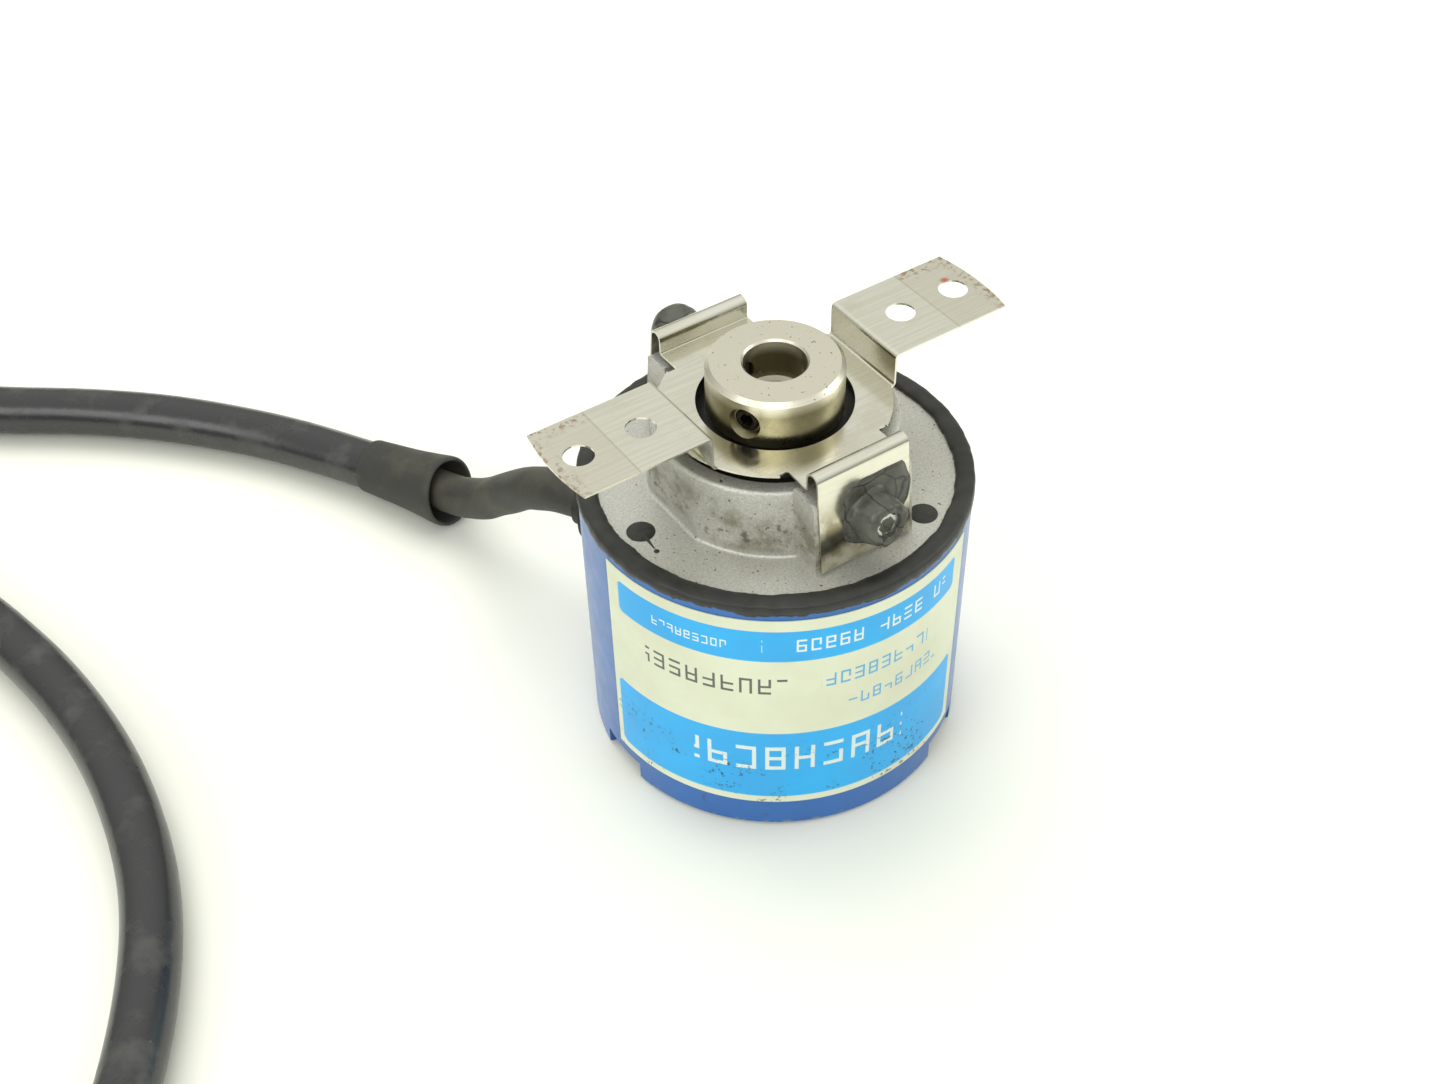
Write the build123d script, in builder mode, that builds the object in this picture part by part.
from build123d import *
import os
from math import atan, cos, degrees, pi, radians, sin, sqrt, tan

# Hollow-shaft absolute rotary encoder with a leaf-spring mount, standing on its cover.
# Frame: millimetres, +Z up along the shaft axis, towards the clamping collar.
# Origin: on the shaft axis, in the plane of the cover's bottom rim.
# +X runs along the two raised mounting tabs of the leaf spring.

# ---------------------------------------------------------------- driving dimensions
COVER_R = 24.0
COVER_H = 38.6
COVER_WALL = 1.2
FLOOR_Z = 3.0
FLOOR_T = 1.2
RIM_WALL = 2.2
NOTCH_ANGLES = (-60, 60, 180)
NOTCH_WIDTH = 7.4
NOTCH_H = 2.9

FLANGE_R = 22.6
FLANGE_T = 4.0
BOSS_BASE_R = 15.35
BOSS_FLAT_R = 14.5
BOSS_FLAT_HALF = 5.6
BOSS_FOOT_FILLET = 0.5
BOSS_RECESS_R = 12.8
BOSS_RECESS = 0.9
SEAL_SEAT_R = 11.0
BOSS_TOP_R = 14.75
BOSS_TOP_Z = 47.8
LUG_HALF = 6.9
LUG_TOP_Z = 48.6
BEARING_TUBE_R = 12.4
BEARING_TUBE_Z = 29.8

SHAFT_R = 6.0
SHAFT_END_Z = 26.0
SHOULDER_R = 7.0
COLLAR_R = 8.2
COLLAR_Z = 48.6
COLLAR_TOP_Z = 55.2
BORE_R = 3.75
BORE_DEPTH = 5.3
RELIEF_R = 3.0
RELIEF_END_Z = 33.0

BEARING_BORE_R = 6.0
BEARING_OD_R = 10.5
BEARING_W = 5.0
BALL_R = 1.19
BALL_PITCH_R = 8.3
BALL_COUNT = 12
BALL_GAP = 0.04
UPPER_BEARING_Z = 40.6
LOWER_BEARING_Z = 32.1

SHEET_T = 0.25
PLATE_TOP_Z = 49.6
PLATE_R = 13.8
PLATE_HOLE_R = 9.36
TAB_TOP_Z = 54.05
TAB_WALL_X = 13.0
TAB_WIDTH = 12.4
TAB_TIP_R = 30.0
TAB_HOLE_R = 1.8
TAB_HOLE_X = (18.35, 26.4)
FOOT_WIDTH = 12.7
ROLL_IN_Y = 14.9
ROLL_OUT_Y = 16.72
ROLL_TOP_Z = 52.1
FOOT_END_Y = 18.0
FOOT_END_Z = 38.95
FOOT_SCREW_X = 0.8
FOOT_SCREW_Z = 44.2
FOOT_WASHER_R = 2.9
FOOT_WASHER_T = 0.5
FOOT_HEAD_R = 2.4
FOOT_HEAD_H = 2.4

SCREW_CIRCLE_R = 19.2
SEALED_HOLE_R = 1.73

SET_SCREW_Z = 51.85
SET_SCREW_ANGLES = {"set_screw_front": -151.0, "set_screw_back": 119.0}
SET_SCREW_R = 1.48
SET_SCREW_L = 3.6

LEAD_D = 6.0
LEAD_Z = 23.5
LEAD_ANGLE = 120.0
CABLE_D = 7.4
COIL_CENTRE = (-120.4, 135.5)
COIL_R = 37.0

# The route of the thin lead, from inside the cover down to the splice on the floor.
LEAD_ROUTE = [
    (-10.4, 18.0, 23.5),
    (-14.3, 24.8, 23.4),
    (-16.2, 32.0, 20.6),
    (-17.4, 38.8, 15.0),
    (-18.8, 45.6, 9.2),
    (-20.5, 52.9, 5.7),
    (-22.1, 58.2, 5.1),
]
# The main cable from the splice to the coil, and from the coil to the connector.
CABLE_TO_COIL = [
    (-22.4, 58.7, 5.0),
    (-30.4, 74.9, 3.83),
    (-41.0, 90.0, 3.7),
    (-55.6, 104.6, 3.7),
    (-73.2, 117.2, 3.7),
    (-81.0, 130.5, 3.7),
    (-83.8, 145.5, 3.7),
]
CABLE_FROM_COIL = [
    (-122.0, 98.5, 11.1),
    (-110.5, 98.4, 10.8),
    (-97.6, 92.6, 7.0),
    (-88.3, 80.8, 3.9),
    (-83.6, 66.0, 3.7),
    (-80.2, 49.0, 3.7),
    (-79.6, 31.0, 3.7),
    (-82.4, 13.5, 3.7),
    (-89.6, -3.0, 3.7),
    (-101.0, -19.0, 3.7),
    (-119.0, -29.0, 3.7),
    (-139.5, -29.3, 3.7),
    (-156.0, -18.5, 3.7),
    (-163.0, -1.5, 6.0),
    (-162.6, 15.5, 6.0),
]
CONNECTOR_HEADING = 88.6

os.makedirs("parts", exist_ok=True)


def save(builder, label):
    """Name a finished piece and write it as its own STEP file."""
    builder.part.label = label
    export_step(builder.part, f"parts/{label}.step")


def radial_plane(angle, radius, height):
    """A plane across a radius of the shaft axis, facing outwards, its x axis horizontal."""
    outward = Vector(cos(radians(angle)), sin(radians(angle)), 0)
    sideways = Vector(-sin(radians(angle)), cos(radians(angle)), 0)
    return Plane(origin=outward * radius + Vector(0, 0, height), x_dir=sideways, z_dir=outward)


def washer(name, inner_r, outer_r, bottom_z, thickness):
    """A flat ring about the shaft axis."""
    with BuildPart() as ring:
        with BuildSketch(Plane.XY.offset(bottom_z)):
            Circle(outer_r)
            Circle(inner_r, mode=Mode.SUBTRACT)
        extrude(amount=thickness)
    save(ring, name)


# ---------------------------------------------------------------- cover and seals
with BuildPart() as cover:
    with BuildSketch(Plane.XZ):
        with BuildLine():
            Polyline(
                (0, FLOOR_Z),
                (COVER_R - RIM_WALL, FLOOR_Z),
                (COVER_R - RIM_WALL, 0),
                (COVER_R, 0),
                (COVER_R, COVER_H),
                (COVER_R - COVER_WALL, COVER_H),
                (COVER_R - COVER_WALL, FLOOR_Z + FLOOR_T),
                (0, FLOOR_Z + FLOOR_T),
                close=True,
            )
        make_face()
    revolve(axis=Axis.Z)
    chamfer(cover.edges().filter_by(GeomType.CIRCLE).group_by(Axis.Z)[0].sort_by(SortBy.RADIUS)[-1:], 0.35)
    with BuildSketch(Plane.XY):
        with PolarLocations(COVER_R, 3, start_angle=NOTCH_ANGLES[0]):
            Rectangle(3 * RIM_WALL, NOTCH_WIDTH)
    extrude(amount=NOTCH_H, mode=Mode.SUBTRACT)
    with BuildSketch(radial_plane(LEAD_ANGLE, COVER_R - 3, LEAD_Z)):
        Circle(4.2)
    extrude(amount=6, mode=Mode.SUBTRACT)
save(cover, "cover")

with BuildPart() as sealant_bead:
    with BuildSketch(Plane.XZ):
        with BuildLine():
            ThreePointArc((21.6, COVER_H), (22.85, COVER_H + 0.85), (COVER_R - 0.05, COVER_H))
            Line((COVER_R - 0.05, COVER_H), (21.6, COVER_H))
        make_face()
    revolve(axis=Axis.Z)
save(sealant_bead, "sealant_bead")

with BuildPart() as nameplate:
    with BuildSketch(Plane.XZ):
        with Locations((COVER_R + 0.07, 20.8)):
            Rectangle(0.12, 32.4)
    revolve(axis=Axis.Z, revolution_arc=122)
    nameplate.part = nameplate.part.rotate(Axis.Z, 180.0)
save(nameplate, "nameplate")

with BuildPart() as insulating_sheet:
    with BuildSketch(Plane.XY.offset(FLOOR_Z + FLOOR_T)):
        Circle(20.5)
    extrude(amount=0.3)
save(insulating_sheet, "insulating_sheet")

# ---------------------------------------------------------------- housing casting
flange_z = COVER_H - FLANGE_T
foot_slope = (FOOT_END_Y - ROLL_OUT_Y) / (ROLL_TOP_Z - FOOT_END_Z)
foot_tilt = degrees(atan(foot_slope))


def lug_face_y(height):
    """Where the lug's drafted outer face stands at a height, just inside the leaf spring's foot."""
    return ROLL_OUT_Y + (ROLL_TOP_Z - height) * foot_slope - SHEET_T / 2 - 0.03


with BuildPart() as housing:
    with BuildSketch(Plane.XZ) as casting_profile:
        with BuildLine():
            Polyline(
                (BEARING_OD_R, BEARING_TUBE_Z),
                (BEARING_TUBE_R, BEARING_TUBE_Z),
                (BEARING_TUBE_R, flange_z),
                (FLANGE_R, flange_z),
                (FLANGE_R, flange_z + 1.4),
                (FLANGE_R - 1.0, flange_z + 1.4),
                (FLANGE_R - 1.0, flange_z + 2.6),
                (FLANGE_R, flange_z + 2.6),
                (FLANGE_R, COVER_H),
                (BOSS_BASE_R, COVER_H),
                (BOSS_TOP_R, BOSS_TOP_Z),
                (BOSS_RECESS_R, BOSS_TOP_Z),
                (BOSS_RECESS_R, BOSS_TOP_Z - BOSS_RECESS),
                (SEAL_SEAT_R, BOSS_TOP_Z - BOSS_RECESS),
                (SEAL_SEAT_R, BOSS_TOP_Z - 1.4),
                (9.4, BOSS_TOP_Z - 1.4),
                (9.4, UPPER_BEARING_Z + BEARING_W),
                (BEARING_OD_R, UPPER_BEARING_Z + BEARING_W),
                (BEARING_OD_R, 31.5),
                (11.1, 31.5),
                (11.1, 30.7),
                (BEARING_OD_R, 30.7),
                close=True,
            )
        make_face()
        fillet(casting_profile.vertices().sort_by_distance((BOSS_BASE_R, COVER_H, 0))[:1], BOSS_FOOT_FILLET)
        fillet(casting_profile.vertices().sort_by_distance((BOSS_TOP_R, BOSS_TOP_Z, 0))[:1], 0.45)
    revolve(axis=Axis.Z)
    for angle in NOTCH_ANGLES:
        outward = Vector(cos(radians(angle)), sin(radians(angle)), 0)
        sideways = Vector(-sin(radians(angle)), cos(radians(angle)), 0)
        with BuildSketch(Plane(origin=(0, 0, 0), x_dir=outward, z_dir=-sideways)) as flat_profile:
            with BuildLine():
                Polyline(
                    (BOSS_FLAT_R, COVER_H),
                    (BOSS_BASE_R + 1, COVER_H),
                    (BOSS_BASE_R + 1, BOSS_TOP_Z + 1),
                    (BOSS_TOP_R + 0.1, BOSS_TOP_Z + 1),
                    close=True,
                )
            make_face()
            flat_corner = flat_profile.vertices().sort_by_distance((BOSS_FLAT_R, COVER_H, 0))[:1]
            fillet(flat_corner, BOSS_FOOT_FILLET)
        extrude(amount=BOSS_FLAT_HALF, both=True, mode=Mode.SUBTRACT)
    for side in (1, -1):
        with BuildSketch(Plane.YZ.offset(-LUG_HALF)):
            with BuildLine():
                Polyline(
                    (side * 11.6, COVER_H - 0.5),
                    (side * lug_face_y(COVER_H - 0.5), COVER_H - 0.5),
                    (side * lug_face_y(LUG_TOP_Z - 0.5), LUG_TOP_Z - 0.5),
                    (side * (lug_face_y(LUG_TOP_Z) - 0.5), LUG_TOP_Z),
                    (side * 13.2, LUG_TOP_Z),
                    (side * 12.9, BOSS_TOP_Z - BOSS_RECESS - 0.5),
                    (side * 11.6, BOSS_TOP_Z - BOSS_RECESS - 0.5),
                    close=True,
                )
            make_face()
        extrude(amount=2 * LUG_HALF)
    for side in (1, -1):
        tapped_face = Plane(
            origin=(-side * FOOT_SCREW_X, side * lug_face_y(FOOT_SCREW_Z), FOOT_SCREW_Z),
            x_dir=(1, 0, 0),
            z_dir=(0, side * cos(radians(foot_tilt)), sin(radians(foot_tilt))),
        )
        with BuildSketch(tapped_face):
            Circle(1.25)
        extrude(amount=-6.0, mode=Mode.SUBTRACT)
    with BuildSketch(Plane.XY.offset(COVER_H)):
        with PolarLocations(SCREW_CIRCLE_R, 3, start_angle=NOTCH_ANGLES[0]):
            Circle(SEALED_HOLE_R)
    extrude(amount=-2.2, mode=Mode.SUBTRACT)
    with BuildSketch(Plane.XY.offset(COVER_H)):
        with PolarLocations(SCREW_CIRCLE_R, 3, start_angle=NOTCH_ANGLES[0]):
            Circle(1.1)
    extrude(amount=-FLANGE_T, mode=Mode.SUBTRACT)
save(housing, "housing")

with BuildPart() as housing_oring:
    with BuildSketch(Plane.XZ):
        with Locations((FLANGE_R - 0.43, flange_z + 2.0)):
            Circle(0.56)
    revolve(axis=Axis.Z)
save(housing_oring, "housing_oring")

with BuildPart() as dust_seal:
    with BuildSketch(Plane.XZ):
        with BuildLine():
            Polyline(
                (SHOULDER_R + 0.15, BOSS_TOP_Z - 0.4),
                (SHOULDER_R + 0.6, BOSS_TOP_Z - 1.4),
                (SEAL_SEAT_R, BOSS_TOP_Z - 1.4),
                (SEAL_SEAT_R, BOSS_TOP_Z - BOSS_RECESS),
                (10.2, BOSS_TOP_Z - 0.1),
                (9.6, BOSS_TOP_Z - 0.3),
                (8.4, BOSS_TOP_Z + 0.1),
                (SHOULDER_R + 0.15, BOSS_TOP_Z + 0.25),
                close=True,
            )
        make_face()
    revolve(axis=Axis.Z)
save(dust_seal, "dust_seal")

# ---------------------------------------------------------------- bearings and shaft stack
groove_r = BALL_R + BALL_GAP


def bearing(name, bottom_z):
    """A deep-groove ball bearing as four pieces: two rings, a set of balls and a cage."""
    middle_z = bottom_z + BEARING_W / 2
    for ring, inner, outer in (
        ("inner_ring", BEARING_BORE_R, 7.4),
        ("outer_ring", 9.2, BEARING_OD_R),
    ):
        with BuildPart() as race:
            with BuildSketch(Plane.XZ):
                with Locations(((inner + outer) / 2, middle_z)):
                    RectangleRounded(outer - inner, BEARING_W, 0.2)
                with Locations((BALL_PITCH_R, middle_z)):
                    Circle(groove_r, mode=Mode.SUBTRACT)
            revolve(axis=Axis.Z)
        save(race, f"{name}_{ring}")
    with BuildPart() as balls:
        with PolarLocations(BALL_PITCH_R, BALL_COUNT):
            with Locations((0, 0, middle_z)):
                Sphere(BALL_R)
    save(balls, f"{name}_balls")
    with BuildPart() as cage:
        with BuildSketch(Plane.XY.offset(middle_z - 1.9)):
            Circle(8.95)
            Circle(7.65, mode=Mode.SUBTRACT)
        extrude(amount=3.8)
        with PolarLocations(BALL_PITCH_R, BALL_COUNT):
            with Locations(Location((0, 0, middle_z), (0, 90, 0))):
                Cylinder(groove_r, 3.0, mode=Mode.SUBTRACT)
    save(cage, f"{name}_cage")


bearing("upper_bearing", UPPER_BEARING_Z)
bearing("lower_bearing", LOWER_BEARING_Z)

spacer_z = LOWER_BEARING_Z + BEARING_W
spacer_t = UPPER_BEARING_Z - spacer_z
washer("inner_spacer", SHAFT_R, 7.2, spacer_z, spacer_t)
washer("outer_spacer", 9.4, BEARING_OD_R, spacer_z, spacer_t)

with BuildPart() as preload_spring:
    with BuildSketch(Plane.XY.offset(31.45)):
        Circle(10.4)
        Circle(9.4, mode=Mode.SUBTRACT)
    extrude(amount=0.3)
    with BuildSketch(Plane.XY.offset(31.7)):
        with PolarLocations(9.9, 3):
            Rectangle(0.8, 3.0)
    extrude(amount=LOWER_BEARING_Z - 31.7)
save(preload_spring, "preload_spring")

with BuildPart() as bearing_clip:
    with BuildSketch(Plane.XY.offset(30.75)):
        Circle(11.05)
        Circle(9.7, mode=Mode.SUBTRACT)
        with Locations((-10.4, 0)):
            Rectangle(3.0, 4.0, mode=Mode.SUBTRACT)
        with Locations((-9.3, 2.9), (-9.3, -2.9)):
            Circle(1.0)
            Circle(0.45, mode=Mode.SUBTRACT)
    extrude(amount=0.7)
save(bearing_clip, "bearing_clip")

with BuildPart() as shaft_clip:
    with BuildSketch(Plane.XY.offset(31.25)):
        Circle(7.3)
        Circle(5.65, mode=Mode.SUBTRACT)
        with Locations((-6.5, 0)):
            Rectangle(3.0, 5.0, mode=Mode.SUBTRACT)
    extrude(amount=0.7)
save(shaft_clip, "shaft_clip")


def screw_hole_plane(angle):
    """The plane at the collar's outer face, at one of its two set-screw holes."""
    return radial_plane(angle, COLLAR_R, SET_SCREW_Z)


with BuildPart() as hollow_shaft:
    with BuildSketch(Plane.XZ):
        with BuildLine():
            Polyline(
                (0, SHAFT_END_Z),
                (SHAFT_R - 0.3, SHAFT_END_Z),
                (SHAFT_R, SHAFT_END_Z + 0.3),
                (SHAFT_R, 31.2),
                (5.6, 31.2),
                (5.6, 32.0),
                (SHAFT_R, 32.0),
                (SHAFT_R, UPPER_BEARING_Z + BEARING_W),
                (SHOULDER_R, UPPER_BEARING_Z + BEARING_W),
                (SHOULDER_R, COLLAR_Z),
                (COLLAR_R - 0.3, COLLAR_Z),
                (COLLAR_R, COLLAR_Z + 0.3),
                (COLLAR_R, COLLAR_TOP_Z - 0.55),
                (COLLAR_R - 0.55, COLLAR_TOP_Z),
                (BORE_R + 0.25, COLLAR_TOP_Z),
                (BORE_R, COLLAR_TOP_Z - 0.25),
                (BORE_R, COLLAR_TOP_Z - BORE_DEPTH),
                (RELIEF_R, COLLAR_TOP_Z - BORE_DEPTH),
                (RELIEF_R, RELIEF_END_Z),
                (0, RELIEF_END_Z - 1.5),
                close=True,
            )
        make_face()
    revolve(axis=Axis.Z)
    for angle in SET_SCREW_ANGLES.values():
        with BuildSketch(screw_hole_plane(angle)):
            Circle(1.5)
        extrude(amount=-(COLLAR_R - 1.0), mode=Mode.SUBTRACT)
        with BuildSketch(screw_hole_plane(angle).offset(0.2)):
            Circle(2.15)
        extrude(amount=-1.1, taper=25, mode=Mode.SUBTRACT)
save(hollow_shaft, "hollow_shaft")

for name, angle in SET_SCREW_ANGLES.items():
    with BuildPart() as set_screw:
        with BuildSketch(screw_hole_plane(angle).offset(BORE_R + 0.1 - COLLAR_R)):
            Circle(SET_SCREW_R)
        extrude(amount=SET_SCREW_L)
        chamfer(set_screw.edges().filter_by(GeomType.CIRCLE), 0.25)
        with BuildSketch(screw_hole_plane(angle).offset(BORE_R + 0.1 - COLLAR_R + SET_SCREW_L)):
            RegularPolygon(0.87, 6)
        extrude(amount=-1.8, mode=Mode.SUBTRACT)
    save(set_screw, name)

with BuildPart() as disc_hub:
    with BuildSketch(Plane.XZ):
        with BuildLine():
            Polyline(
                (SHAFT_R, SHAFT_END_Z),
                (10.0, SHAFT_END_Z),
                (10.0, SHAFT_END_Z + 0.9),
                (8.4, SHAFT_END_Z + 0.9),
                (8.4, 30.0),
                (SHAFT_R, 30.0),
                close=True,
            )
        make_face()
    revolve(axis=Axis.Z)
save(disc_hub, "disc_hub")

washer("code_disc", 6.2, 17.0, SHAFT_END_Z - 1.0, 1.0)
washer("disc_clamp", 4.4, 9.0, SHAFT_END_Z - 1.8, 0.8)

with BuildPart() as multiturn_magnet:
    with BuildSketch(Plane.XY.offset(SHAFT_END_Z - 2.4)):
        Circle(4.1)
    extrude(amount=2.4)
    chamfer(multiturn_magnet.edges().group_by(Axis.Z)[0], 0.3)
save(multiturn_magnet, "multiturn_magnet")

# ---------------------------------------------------------------- leaf spring and its screws
with BuildPart() as flexure_plate:
    with BuildSketch(Plane.XY.offset(PLATE_TOP_Z - SHEET_T)):
        Circle(PLATE_R)
        Rectangle(2 * 11.0, TAB_WIDTH)
        Rectangle(FOOT_WIDTH, 2 * 12.0)
        Circle(PLATE_HOLE_R, mode=Mode.SUBTRACT)
        for corner_x in (1, -1):
            for corner_y in (1, -1):
                with Locations((corner_x * (FOOT_WIDTH / 2 + 0.6), corner_y * 12.7)):
                    Rectangle(1.2, 2.8, mode=Mode.SUBTRACT)
    extrude(amount=SHEET_T)
    for side in (1, -1):
        with BuildSketch(Plane.XZ.offset(-TAB_WIDTH / 2)):
            with BuildLine():
                FilletPolyline(
                    (side * 10.5, PLATE_TOP_Z - SHEET_T),
                    (side * TAB_WALL_X, PLATE_TOP_Z - SHEET_T),
                    (side * TAB_WALL_X, TAB_TOP_Z - SHEET_T),
                    (side * 31.0, TAB_TOP_Z - SHEET_T),
                    radius=[0.6, 0.35],
                )
                offset(amount=SHEET_T, side=Side.LEFT if side > 0 else Side.RIGHT)
            make_face()
        extrude(amount=TAB_WIDTH)
        with BuildSketch(Plane.YZ.offset(-FOOT_WIDTH / 2)):
            with BuildLine():
                FilletPolyline(
                    (side * 11.0, PLATE_TOP_Z - SHEET_T),
                    (side * (ROLL_IN_Y + SHEET_T / 2), PLATE_TOP_Z - SHEET_T),
                    (side * (ROLL_IN_Y + SHEET_T / 2), ROLL_TOP_Z - SHEET_T / 2),
                    (side * (ROLL_OUT_Y - SHEET_T / 2), ROLL_TOP_Z - SHEET_T / 2),
                    (side * (FOOT_END_Y - SHEET_T / 2), FOOT_END_Z),
                    radius=[0.42, 0.78, 0.78],
                )
                offset(amount=SHEET_T, side=Side.LEFT if side > 0 else Side.RIGHT)
            make_face()
        extrude(amount=FOOT_WIDTH)
    with BuildSketch(Plane.XY.offset(PLATE_TOP_Z)):
        Circle(TAB_TIP_R + 3)
        Circle(TAB_TIP_R, mode=Mode.SUBTRACT)
    extrude(amount=10, mode=Mode.SUBTRACT)
    with BuildSketch(Plane.XY.offset(PLATE_TOP_Z + 1)):
        for hole_x in TAB_HOLE_X:
            with Locations((hole_x, 0), (-hole_x, 0)):
                Circle(TAB_HOLE_R)
    extrude(amount=6, mode=Mode.SUBTRACT)
    for side in (1, -1):
        with BuildSketch(
            Plane(
                origin=(-side * FOOT_SCREW_X, side * lug_face_y(FOOT_SCREW_Z), FOOT_SCREW_Z),
                x_dir=(1, 0, 0),
                z_dir=(0, side * cos(radians(foot_tilt)), sin(radians(foot_tilt))),
            )
        ):
            Circle(1.4)
        extrude(amount=2, both=True, mode=Mode.SUBTRACT)
save(flexure_plate, "flexure_plate")


def foot_plane(side):
    """The outer face of one foot of the leaf spring, at its screw."""
    out = lug_face_y(FOOT_SCREW_Z) + 0.03 + SHEET_T
    return Plane(
        origin=(-side * FOOT_SCREW_X, side * out, FOOT_SCREW_Z),
        x_dir=(1, 0, 0),
        z_dir=(0, side * cos(radians(foot_tilt)), sin(radians(foot_tilt))),
    )


with BuildPart() as flexure_screws:
    for side in (1, -1):
        with BuildSketch(foot_plane(side)):
            Circle(FOOT_WASHER_R)
        extrude(amount=FOOT_WASHER_T)
        with BuildSketch(foot_plane(side)):
            Circle(FOOT_HEAD_R)
        extrude(amount=FOOT_WASHER_T + FOOT_HEAD_H)
        with BuildSketch(foot_plane(side)):
            Circle(1.22)
        extrude(amount=-6.0)
        with BuildSketch(foot_plane(side).offset(FOOT_WASHER_T + FOOT_HEAD_H)):
            RegularPolygon(1.16, 6)
        extrude(amount=-1.3, mode=Mode.SUBTRACT)
save(flexure_screws, "flexure_screws")

with BuildPart() as flexure_sealant:
    for side in (1, -1):
        with BuildSketch(foot_plane(side)):
            Circle(FOOT_WASHER_R + 1.5)
            Circle(FOOT_WASHER_R + 0.02, mode=Mode.SUBTRACT)
        extrude(amount=0.35)
save(flexure_sealant, "flexure_sealant")

# ---------------------------------------------------------------- housing screws and their sealant
with BuildPart() as housing_screws:
    for angle in NOTCH_ANGLES:
        centre = (SCREW_CIRCLE_R * cos(radians(angle)), SCREW_CIRCLE_R * sin(radians(angle)))
        with BuildSketch(Plane.XY.offset(COVER_H - 2.2)):
            with Locations(centre):
                Circle(1.65)
        extrude(amount=1.3)
        with BuildSketch(Plane.XY.offset(COVER_H - 2.2)):
            with Locations(centre):
                Circle(0.97)
        extrude(amount=-8.0)
        with BuildSketch(Plane.XY.offset(COVER_H - 0.9)):
            with Locations(centre):
                RegularPolygon(0.85, 6)
        extrude(amount=-0.8, mode=Mode.SUBTRACT)
save(housing_screws, "housing_screws")

with BuildPart() as screw_sealant:
    with BuildSketch(Plane.XY.offset(COVER_H - 0.9)):
        with PolarLocations(SCREW_CIRCLE_R, 3, start_angle=NOTCH_ANGLES[0]):
            Circle(SEALED_HOLE_R)
    extrude(amount=1.0)
save(screw_sealant, "screw_sealant")

# ---------------------------------------------------------------- boards and sensing parts
UPPER_BOARD_Z = 20.0
MAIN_BOARD_Z = 10.0
BOARD_T = 1.6
LEG_R = 2.5
CARRIER_Z = 31.6
SENSE_X = 14.8

with BuildPart() as board_carrier:
    with BuildSketch(Plane.XY.offset(CARRIER_Z)):
        Circle(22.2)
        Circle(16.6, mode=Mode.SUBTRACT)
    extrude(amount=flange_z - CARRIER_Z)
    with BuildSketch(Plane.XY.offset(UPPER_BOARD_Z + BOARD_T)):
        with PolarLocations(SCREW_CIRCLE_R + 0.1, 3, start_angle=NOTCH_ANGLES[0]):
            Circle(LEG_R - 0.4)
    extrude(amount=CARRIER_Z - UPPER_BOARD_Z - BOARD_T)
    with BuildSketch(Plane.XY.offset(UPPER_BOARD_Z)):
        with PolarLocations(SCREW_CIRCLE_R, 3, start_angle=NOTCH_ANGLES[0]):
            Circle(1.0)
    extrude(amount=flange_z - UPPER_BOARD_Z, mode=Mode.SUBTRACT)
save(board_carrier, "board_carrier")


def board(name, bottom_z, radius):
    """A round circuit board with three screw holes and a notch for the lead."""
    with BuildPart() as disc:
        with BuildSketch(Plane.XY.offset(bottom_z)):
            Circle(radius)
            with PolarLocations(SCREW_CIRCLE_R, 3, start_angle=NOTCH_ANGLES[0]):
                Circle(1.15, mode=Mode.SUBTRACT)
            with PolarLocations(radius + 0.5, 1, start_angle=LEAD_ANGLE):
                Circle(5.6, mode=Mode.SUBTRACT)
        extrude(amount=BOARD_T)
    save(disc, name)


board("sensor_board", UPPER_BOARD_Z, 21.8)
board("main_board", MAIN_BOARD_Z, 21.8)

with BuildPart() as board_spacers:
    with BuildSketch(Plane.XY.offset(MAIN_BOARD_Z + BOARD_T)):
        with PolarLocations(SCREW_CIRCLE_R, 3, start_angle=NOTCH_ANGLES[0]):
            Circle(2.1)
        with PolarLocations(SCREW_CIRCLE_R, 3, start_angle=NOTCH_ANGLES[0]):
            Circle(1.15, mode=Mode.SUBTRACT)
    extrude(amount=UPPER_BOARD_Z - MAIN_BOARD_Z - BOARD_T)
save(board_spacers, "board_spacers")

with BuildPart() as board_screws:
    for angle in NOTCH_ANGLES:
        centre = (SCREW_CIRCLE_R * cos(radians(angle)), SCREW_CIRCLE_R * sin(radians(angle)))
        with BuildSketch(Plane.XY.offset(MAIN_BOARD_Z)):
            with Locations(centre):
                Circle(1.9)
        extrude(amount=-1.4)
        with BuildSketch(Plane.XY.offset(MAIN_BOARD_Z)):
            with Locations(centre):
                Circle(0.97)
        extrude(amount=15.0)
        with BuildSketch(Plane.XY.offset(MAIN_BOARD_Z - 1.4)):
            with Locations(centre):
                Rectangle(2.2, 0.5)
                Rectangle(0.5, 2.2)
        extrude(amount=0.8, mode=Mode.SUBTRACT)
save(board_screws, "board_screws")


def block(name, bottom_z, boxes):
    """One or more flat blocks of one kind on a board: x, y, length, width and height of each."""
    with BuildPart() as group:
        for x, y, length, width, height in boxes:
            with BuildSketch(Plane.XY.offset(bottom_z)):
                with Locations((x, y)):
                    Rectangle(length, width)
            extrude(amount=height)
    save(group, name)


board_top = UPPER_BOARD_Z + BOARD_T
main_top = MAIN_BOARD_Z + BOARD_T
block("sensor_chip", board_top, [(SENSE_X, 0, 6.0, 8.0, 1.2)])
block("slit_mask", board_top + 1.2, [(SENSE_X, 0, 4.6, 6.0, 0.8)])
block("hall_sensor", board_top, [(0, 0, 4.0, 4.4, 1.1)])
block("main_chips", main_top, [(0, 0, 7.0, 7.0, 1.4), (10.5, 4.5, 5.0, 4.0, 1.5), (2, -13, 8.7, 3.9, 1.5)])

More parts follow.
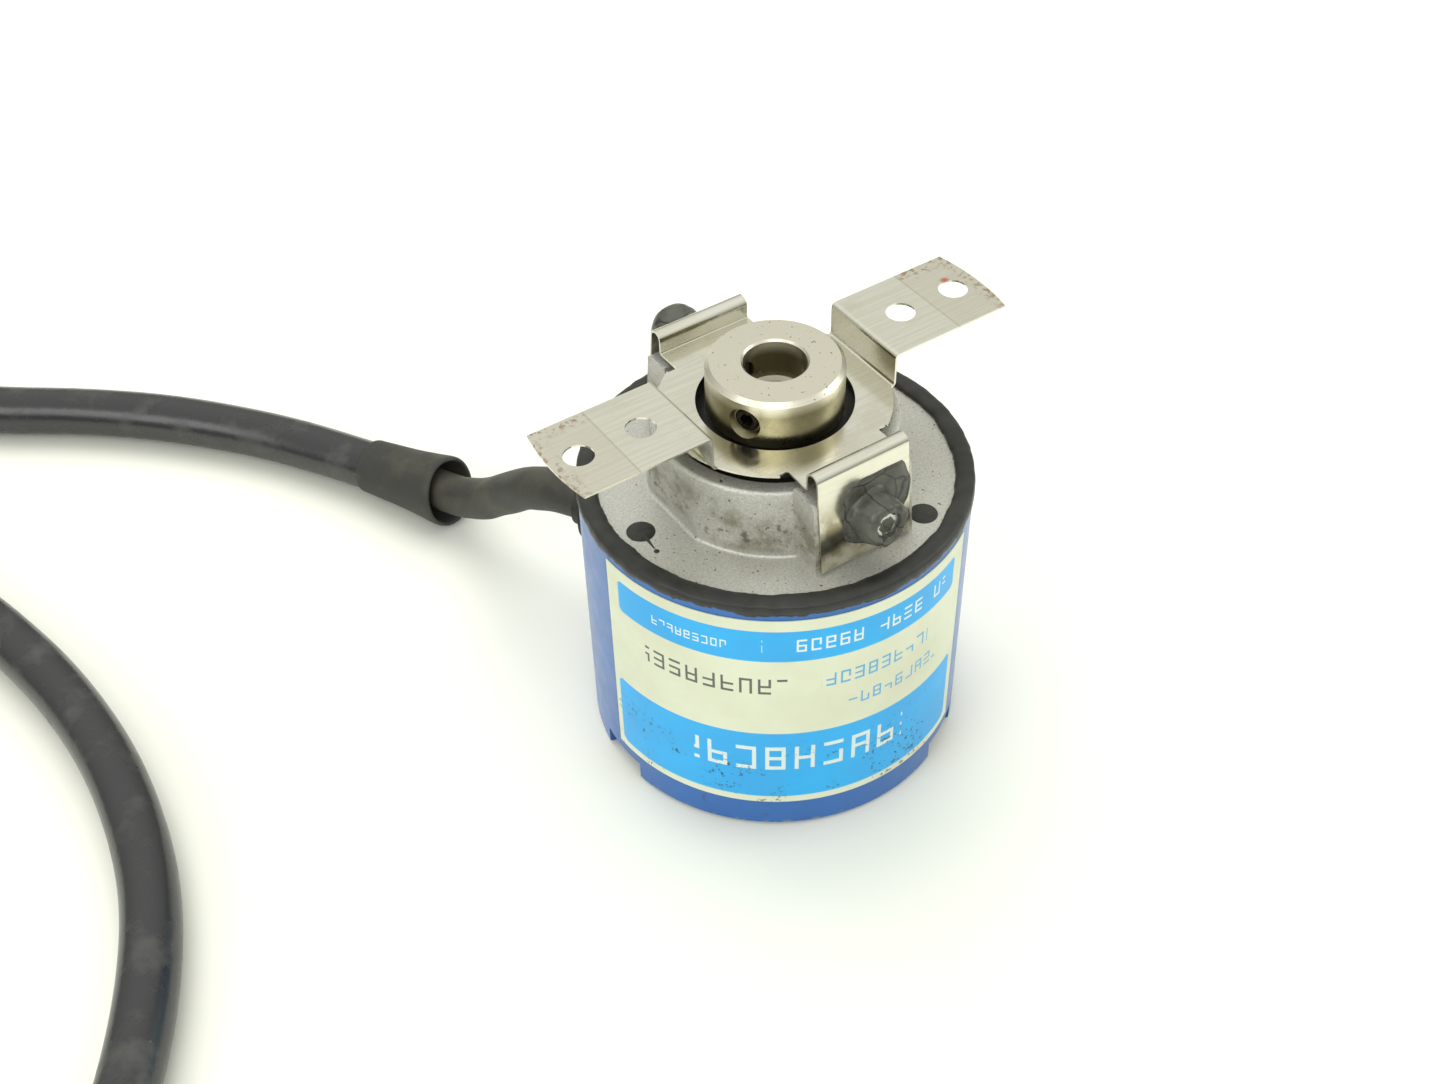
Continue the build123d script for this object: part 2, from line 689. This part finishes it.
with BuildPart() as main_capacitors:
    for x, y, radius, height in ((-13.0, 0.0, 3.0, 6.5), (-11.0, -8.0, 2.5, 5.4), (10.5, -8.0, 2.0, 5.0)):
        with BuildSketch(Plane.XY.offset(main_top)):
            with Locations((x, y)):
                Circle(radius)
        extrude(amount=height)
    fillet(main_capacitors.edges().filter_by(GeomType.CIRCLE).group_by(Axis.Z)[-1], 0.3)
save(main_capacitors, "main_capacitors")

with BuildPart() as led_holder:
    with BuildSketch(Plane.XY.offset(27.3)):
        with Locations((SENSE_X + 0.8, 0)):
            Rectangle(5.6, 7.0)
    extrude(amount=CARRIER_Z - 27.3)
    with BuildSketch(Plane.XY.offset(27.3)):
        with Locations((SENSE_X, 0)):
            Circle(1.55)
    extrude(amount=3.2, mode=Mode.SUBTRACT)
save(led_holder, "led_holder")

with BuildPart() as led:
    with BuildSketch(Plane.XZ):
        with BuildLine():
            Polyline((SENSE_X, 26.5), (SENSE_X, 30.3), (SENSE_X + 1.5, 30.3), (SENSE_X + 1.5, 28.0))
            ThreePointArc(
                (SENSE_X + 1.5, 28.0),
                (SENSE_X + 1.5 * sqrt(0.5), 28.0 - 1.5 * sqrt(0.5)),
                (SENSE_X, 26.5),
            )
        make_face()
    revolve(axis=Axis((SENSE_X, 0, 0), (0, 0, 1)))
save(led, "led")

socket_plane_angle = LEAD_ANGLE
with BuildPart() as board_socket:
    with BuildSketch(Plane.XY.offset(main_top)):
        with PolarLocations(12.6, 1, start_angle=socket_plane_angle):
            Rectangle(4.6, 10.0)
    extrude(amount=5.6)
    with BuildSketch(Plane.XY.offset(main_top + 5.6)):
        with PolarLocations(12.6, 1, start_angle=socket_plane_angle):
            with GridLocations(0, 1.5, 1, 5):
                Circle(0.5)
    extrude(amount=-2.0, mode=Mode.SUBTRACT)
save(board_socket, "board_socket")

WIRE_R = 0.42
with BuildPart() as lead_wires:
    for index in range(5):
        step = index - 2
        outward = Vector(cos(radians(LEAD_ANGLE)), sin(radians(LEAD_ANGLE)), 0)
        sideways = Vector(-sin(radians(LEAD_ANGLE)), cos(radians(LEAD_ANGLE)), 0)
        start = outward * 20.5 + sideways * (step * 1.1) + Vector(0, 0, LEAD_Z)
        turn = outward * 18.6 + sideways * (step * 1.2) + Vector(0, 0, LEAD_Z - 0.4)
        drop = outward * 18.1 + sideways * (step * 1.5) + Vector(0, 0, 18.8)
        over = outward * 12.6 + sideways * (step * 1.5) + Vector(0, 0, 18.9)
        end = outward * 12.6 + sideways * (step * 1.5) + Vector(0, 0, main_top + 4.0)
        with BuildLine() as wire_path:
            FilletPolyline(start, turn, drop, over, end, radius=0.8)
        spine = wire_path.wire()
        with BuildSketch(Plane(origin=spine @ 0, z_dir=spine % 0)):
            Circle(WIRE_R)
        sweep(path=spine)
save(lead_wires, "lead_wires")

# ---------------------------------------------------------------- lead exit and cords
def corner_radii(points):
    """The arc at each corner of a cord's route: 0.45 of the shorter run over tan(half the turn)."""
    found = []
    for before, here, after in zip(points, points[1:], points[2:]):
        arriving = Vector(*here) - Vector(*before)
        leaving = Vector(*after) - Vector(*here)
        half_turn = radians(arriving.get_angle(leaving)) / 2
        found.append(0.45 * min(arriving.length, leaving.length) / tan(half_turn))
    return found


def route_wire(points):
    """A cord's route as one wire of straight runs and tangent arcs."""
    with BuildLine() as path:
        FilletPolyline(*points, radius=corner_radii(points))
    return path.wire()


with BuildPart() as cable_grommet:
    with BuildSketch(radial_plane(LEAD_ANGLE, 23.2, LEAD_Z)):
        Circle(5.2)
    extrude(amount=2.4)
    Cylinder(COVER_R + 0.02, 4 * COVER_H, mode=Mode.SUBTRACT)
    with BuildSketch(radial_plane(LEAD_ANGLE, 20.9, LEAD_Z)):
        Circle(5.2)
    extrude(amount=1.2)
    with BuildSketch(radial_plane(LEAD_ANGLE, 20.9, LEAD_Z)):
        Circle(4.17)
    extrude(amount=4.7)
    with BuildSketch(radial_plane(LEAD_ANGLE, 27.4, LEAD_Z)):
        Circle(3.7)
    extrude(amount=-3.0, taper=-6)
    lead_spine = route_wire(LEAD_ROUTE)
    with BuildSketch(Plane(origin=lead_spine @ 0, z_dir=lead_spine % 0)):
        Circle(LEAD_D / 2 + 0.02)
    sweep(path=lead_spine, mode=Mode.SUBTRACT)
save(cable_grommet, "cable_grommet")


def cord(name, points, diameter):
    """A plain tube along straight runs joined by tangent arcs."""
    spine = route_wire(points)
    with BuildPart() as tube:
        with BuildSketch(Plane(origin=spine @ 0, z_dir=spine % 0)):
            Circle(diameter / 2)
        sweep(path=spine)
    section = pi * diameter**2 / 4
    ratio = tube.part.volume / (section * spine.length)
    in_diameters = [round(radius / diameter, 1) for radius in corner_radii(points)]
    print(f"{name}: length {spine.length:.1f}, volume ratio {ratio:.4f}, radii/d {in_diameters}")
    save(tube, name)


cord("encoder_lead", LEAD_ROUTE, LEAD_D)
cord("main_cable_run", CABLE_TO_COIL, CABLE_D)
cord("main_cable_tail", CABLE_FROM_COIL, CABLE_D)

SLEEVE_MOUTH = Vector(-20.0, 53.8, 5.35)
SLEEVE_END = Vector(-26.4, 66.8, 4.41)
sleeve_axis = (SLEEVE_END - SLEEVE_MOUTH).normalized()
sleeve_l = (SLEEVE_END - SLEEVE_MOUTH).length
sleeve_plane = Plane(origin=SLEEVE_MOUTH, x_dir=(0, 0, 1), z_dir=sleeve_axis)
with BuildPart() as splice_sleeve:
    with BuildSketch(sleeve_plane):
        Circle(5.15)
    with BuildSketch(sleeve_plane.offset(0.5 * sleeve_l)):
        Circle(4.45)
    with BuildSketch(sleeve_plane.offset(sleeve_l)):
        Circle(4.1)
    loft(ruled=True)
    with BuildSketch(sleeve_plane):
        Circle(4.5)
    with BuildSketch(sleeve_plane.offset(0.38 * sleeve_l)):
        Circle(3.9)
    loft(mode=Mode.SUBTRACT)
    with BuildSketch(sleeve_plane):
        Circle(3.78)
    extrude(amount=sleeve_l, mode=Mode.SUBTRACT)
save(splice_sleeve, "splice_sleeve")

TIE_ANGLE = 150.0
TIE_WIDTH = 3.6
tie_out = Vector(cos(radians(TIE_ANGLE)), sin(radians(TIE_ANGLE)), 0)
tie_plane = Plane(
    origin=Vector(*COIL_CENTRE, CABLE_D) + tie_out * COIL_R,
    x_dir=tie_out,
    z_dir=(-tie_out.Y, tie_out.X, 0),
)
with BuildPart() as cable_coil:
    with BuildSketch(Plane(origin=(*COIL_CENTRE, 0), x_dir=(1, 0, 0), z_dir=(0, -1, 0))):
        with Locations((COIL_R, CABLE_D)):
            SlotOverall(2 * CABLE_D, CABLE_D, rotation=90)
    revolve(axis=Axis((*COIL_CENTRE, 0), (0, 0, 1)))
    with BuildSketch(tie_plane.offset(-TIE_WIDTH / 2)):
        Rectangle(2 * CABLE_D, 3 * CABLE_D)
        RectangleRounded(CABLE_D - 0.6, 2 * CABLE_D - 1.6, 3.1, mode=Mode.SUBTRACT)
    extrude(amount=TIE_WIDTH, mode=Mode.SUBTRACT)
save(cable_coil, "cable_coil")

with BuildPart() as cable_tie:
    with BuildSketch(tie_plane.offset(-TIE_WIDTH / 2)):
        RectangleRounded(CABLE_D + 1.0, 2 * CABLE_D, 3.9)
        RectangleRounded(CABLE_D - 0.6, 2 * CABLE_D - 1.6, 3.1, mode=Mode.SUBTRACT)
    extrude(amount=TIE_WIDTH)
    with BuildSketch(tie_plane.offset(-TIE_WIDTH / 2 - 0.8)):
        with Locations((CABLE_D / 2 + 1.9, 2.0)):
            RectangleRounded(3.6, 5.2, 0.6)
    extrude(amount=TIE_WIDTH + 1.6)
save(cable_tie, "cable_tie")

# ---------------------------------------------------------------- connector at the cable's end
heading = Vector(cos(radians(CONNECTOR_HEADING)), sin(radians(CONNECTOR_HEADING)), 0)
across = Vector(-heading.Y, heading.X, 0)
connector_root = Vector(*CABLE_FROM_COIL[-1])


def connector_plane(along):
    """A plane across the connector, at a distance along it from the cable's end."""
    return Plane(origin=connector_root + heading * along, x_dir=across, z_dir=heading)


with BuildPart() as connector_boot:
    with BuildSketch(connector_plane(-11.0)):
        Circle(4.3)
    with BuildSketch(connector_plane(2.0)):
        Circle(5.6)
    loft()
    with BuildSketch(connector_plane(-12.0)):
        Circle(CABLE_D / 2 + 0.02)
    extrude(amount=12.0, mode=Mode.SUBTRACT)
save(connector_boot, "connector_boot")

with BuildPart() as connector_shell:
    with BuildSketch(connector_plane(2.0)):
        RectangleRounded(15.6, 11.9, 2.2)
    extrude(amount=31.0)
    with BuildSketch(connector_plane(33.0)):
        RectangleRounded(12.4, 7.4, 0.8)
    extrude(amount=-18.0, mode=Mode.SUBTRACT)
save(connector_shell, "connector_shell")

with BuildPart() as connector_shroud:
    with BuildSketch(connector_plane(20.0)):
        RectangleRounded(12.3, 7.3, 0.7)
        RectangleRounded(11.5, 6.5, 0.4, mode=Mode.SUBTRACT)
    extrude(amount=22.0)
save(connector_shroud, "connector_shroud")

with BuildPart() as connector_insert:
    with BuildSketch(connector_plane(20.0)):
        RectangleRounded(11.4, 6.4, 0.35)
    extrude(amount=13.0)
    with BuildSketch(connector_plane(33.0)):
        Rectangle(8.6, 2.6)
    extrude(amount=8.0)
save(connector_insert, "connector_insert")

with BuildPart() as connector_contacts:
    for face in (1, -1):
        with BuildSketch(connector_plane(33.5)):
            with Locations((0, face * 1.5)):
                with GridLocations(2.4, 0, 3, 1):
                    Rectangle(1.0, 0.38)
        extrude(amount=6.8)
save(connector_contacts, "connector_contacts")
